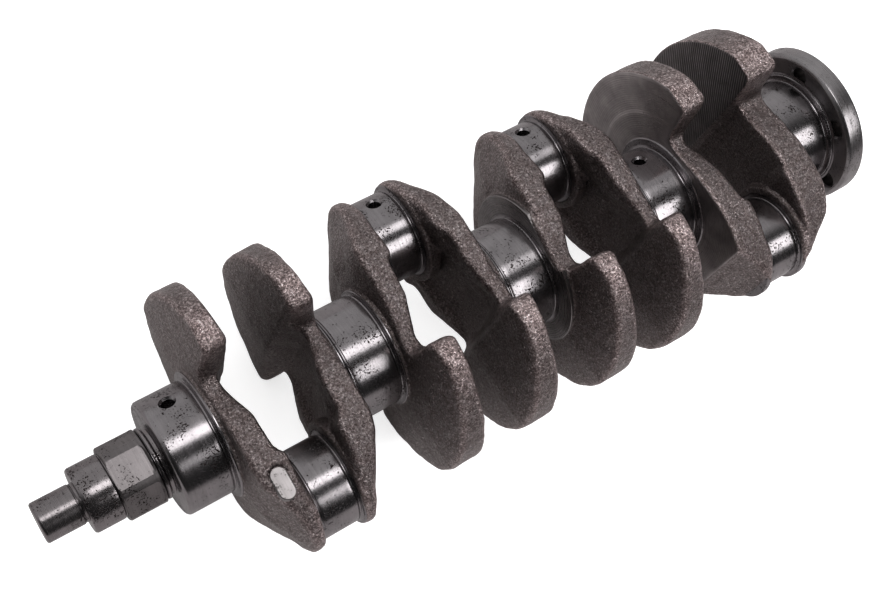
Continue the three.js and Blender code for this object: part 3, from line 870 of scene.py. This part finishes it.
for node, ob in pieces.items():
    ob.data.materials.clear()
    ob.data.polygons.foreach_set("material_index", np.zeros(len(ob.data.polygons), np.int32))
    ob.data.materials.append(FORGED if node.startswith("crank_web") else GROUND[node])
    if node == "flywheel_flange":                           # walls of the six holes, painted near-black as shade
        n = len(ob.data.polygons)
        cen = np.zeros(n * 3)
        nor = np.zeros(n * 3)
        ob.data.polygons.foreach_get("center", cen)
        ob.data.polygons.foreach_get("normal", nor)
        cen = cen.reshape(-1, 3) * 1000
        nor = nor.reshape(-1, 3)
        inside = np.zeros(n, bool)
        for kk in range(6):
            a = math.radians(60 * kk)
            d = np.hypot(cen[:, 1] - 33 * math.cos(a), cen[:, 2] - AXIS_H - 33 * math.sin(a))
            inside |= (d < 5.0) & (np.abs(nor[:, 0]) < 0.3)
        ob.data.materials.append(PAINTED_SHADE_HOLE)
        ob.data.polygons.foreach_set("material_index", inside.astype(np.int32))
    if node in ("crank_web_7", "crank_web_8"):
        ob.data.materials.append(FACE_7 if node.endswith("7") else FACE_8)
        ob.data.polygons.foreach_set("material_index", MACHINED[int(node[-1])].astype(np.int32))
    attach(ob, "root")
    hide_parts(node)

# ---------------------------------------------------------------- stage
FLOOR_HALF = 1.6
me = bpy.data.meshes.new("floor")
me.from_pydata([(-FLOOR_HALF, -FLOOR_HALF, 0), (FLOOR_HALF, -FLOOR_HALF, 0), (FLOOR_HALF, FLOOR_HALF, 0), (-FLOOR_HALF, FLOOR_HALF, 0)], [], [(0, 1, 2, 3)])
floor = bpy.data.objects.new("floor", me)
bpy.context.scene.collection.objects.link(floor)
ft = Tree("floor_white")
lp = ft.n("LightPath")
dif = ft.n("BsdfDiffuse", None, Color=(0.70, 0.70, 0.70, 1))
em = ft.n("Emission", None, Color=(1, 1, 1, 1), Strength=0.56)
add = ft.n("AddShader", None, i0=dif.outputs[0], i1=em.outputs[0])
dim = ft.n("BsdfDiffuse", None, Color=(0.52, 0.50, 0.50, 1))
mx = ft.n("MixShader", None, Fac=lp.outputs["Is Glossy Ray"], i1=add.outputs[0], i2=dim.outputs[0])
ft.nt.links.new(mx.outputs[0], ft.out.inputs[0])
floor.data.materials.append(ft.m)

# ---------------------------------------------------------------- world and lights
sc = bpy.context.scene
world = bpy.data.worlds.new("studio")
sc.world = world
world.use_nodes = True
wt = world.node_tree
wt.nodes.clear()
wo = wt.nodes.new("ShaderNodeOutputWorld")
wl = wt.nodes.new("ShaderNodeLightPath")
tc = wt.nodes.new("ShaderNodeTexCoord")
sep = wt.nodes.new("ShaderNodeSeparateXYZ")
wt.links.new(tc.outputs["Generated"], sep.inputs[0])
# the room seen in the metal: grey on the far side, dark on the near side
mr = wt.nodes.new("ShaderNodeMapRange")
mr.interpolation_type = "SMOOTHSTEP"
mr.inputs["From Min"].default_value = -0.25
mr.inputs["From Max"].default_value = 0.45
mr.inputs["To Min"].default_value = 0.03
mr.inputs["To Max"].default_value = 0.80
wt.links.new(sep.outputs["Y"], mr.inputs["Value"])
bg_g = wt.nodes.new("ShaderNodeBackground")
wt.links.new(mr.outputs[0], bg_g.inputs["Strength"])
bg_w = wt.nodes.new("ShaderNodeBackground")
bg_w.inputs["Strength"].default_value = 0.9
mix = wt.nodes.new("ShaderNodeMixShader")
wt.links.new(wl.outputs["Is Glossy Ray"], mix.inputs[0])
wt.links.new(bg_w.outputs[0], mix.inputs[1])
wt.links.new(bg_g.outputs[0], mix.inputs[2])
wt.links.new(mix.outputs[0], wo.inputs["Surface"])


def softbox(name, centre, normal, along, sx, sy, radiance, tint=(1, 1, 1)):
    """A rectangular light at centre, shining along normal, its sx side as near along as it can be."""
    l = bpy.data.lights.new(name, "AREA")
    l.shape = "RECTANGLE"
    l.size, l.size_y = sx, sy
    l.energy = radiance * 4.0 * sx * sy
    l.color = tint
    o = bpy.data.objects.new(name, l)
    sc.collection.objects.link(o)
    n = np.array(normal, float)
    n /= np.linalg.norm(n)
    ax = np.array(along, float)
    ax -= n * (ax @ n)
    ax /= np.linalg.norm(ax)
    az = -n
    ay = np.cross(az, ax)
    o.matrix_world = Matrix(((ax[0], ay[0], az[0], centre[0]), (ax[1], ay[1], az[1], centre[1]), (ax[2], ay[2], az[2], centre[2]), (0, 0, 0, 1)))
    return o


softbox("overhead", (0.06, 0.03, 1.15), (0, 0, -1), (1, 0, 0), 0.70, 0.34, 2.5)
softbox("overhead_nose", (-0.06, 0.225, 1.15), (0, 0, -1), (1, 0, 0), 0.20, 0.05, 2.5)
softbox("overhead_tail", (0.55, 0.06, 1.15), (-0.3, 0, -1), (1, 0, 0), 0.28, 0.38, 1.1)
softbox("side", (0.78, -0.86, 0.98), (-0.2, 0.66, -0.72), (1, 0.0, 0), 1.00, 0.66, 2.7)
softbox("side_low", (0.12, -0.76, 0.98), (0, 0.66, -0.72), (1, 0.0, 0), 0.28, 0.30, 1.1)

# ---------------------------------------------------------------- camera
cam = bpy.data.cameras.new("camera")
cam.sensor_width = 36.0
cam.sensor_fit = "HORIZONTAL"
cam.lens = 1381.78 * 36.0 / 894.0
cam.clip_start, cam.clip_end = 0.05, 20
co = bpy.data.objects.new("camera", cam)
sc.collection.objects.link(co)
RIGHT, DOWN, FWD, POS = (0.8284, -0.5132, 0.2246), (-0.4335, -0.8412, -0.3233), (0.3548, 0.1704, -0.9193), (-0.2418, -0.1073, 0.6613)
r_, d_, f_ = (np.array(a) for a in (RIGHT, DOWN, FWD))
f_ = f_ / np.linalg.norm(f_)
r_ = r_ - f_ * (r_ @ f_)
r_ /= np.linalg.norm(r_)
d_ = np.cross(f_, r_)
co.matrix_world = Matrix(((r_[0], -d_[0], -f_[0], POS[0]), (r_[1], -d_[1], -f_[1], POS[1]), (r_[2], -d_[2], -f_[2], POS[2]), (0, 0, 0, 1)))
sc.camera = co
sc.view_settings.view_transform = "Standard"
sc.view_settings.look = "None"
sc.view_settings.exposure = 0.30
sc.view_settings.gamma = 0.85
